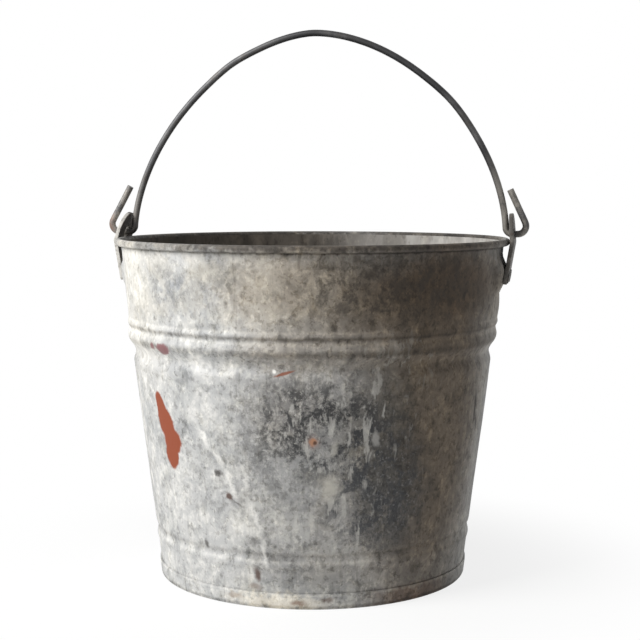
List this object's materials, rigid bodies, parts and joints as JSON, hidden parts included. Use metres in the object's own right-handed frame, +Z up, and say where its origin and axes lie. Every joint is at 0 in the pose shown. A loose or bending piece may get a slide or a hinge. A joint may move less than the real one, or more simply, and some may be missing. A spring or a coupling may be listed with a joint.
{
  "type": "metal bucket",
  "caption": "Weathered galvanised steel pail with a tapered wall, rolled beads, a wired rim, a folded foot ring, riveted ears and a swinging wire bail.",
  "frame": {"origin": "middle of the foot ring, on the floor, below the middle of the pail's box", "axes": "+Z up; X runs through the two ears, with the ear at the picture's right on +X; -Y is the side seen in the picture and +Y the side of the lock seam"},
  "size_m": [0.3274, 0.2998, 0.4125],
  "materials": {
    "galvanised_sheet": "weathered zinc, mottled, with runs and rust spots",
    "steel_strap": "dull grey, worn pale at the edges",
    "steel_rivet": "dull grey",
    "steel_wire": "dark grey with a brown tint of rust"
  },
  "bodies": {
    "pail": {"wall": "galvanised_sheet", "rim_wire": "steel_wire", "bottom": "galvanised_sheet", "ear_left": "steel_strap", "ear_right": "steel_strap", "rivet_left_front": "steel_rivet", "rivet_left_back": "steel_rivet", "rivet_right_front": "steel_rivet", "rivet_right_back": "steel_rivet"},
    "bail": {"bail": "steel_wire"}
  },
  "joints": [
    {"name": "bail_swing", "type": "hinge", "parent": "pail", "child": "bail", "pos_m": [0, 0, 0.2595], "axis": [1, 0, 0], "range_deg": [-90, 90]}
  ]
}
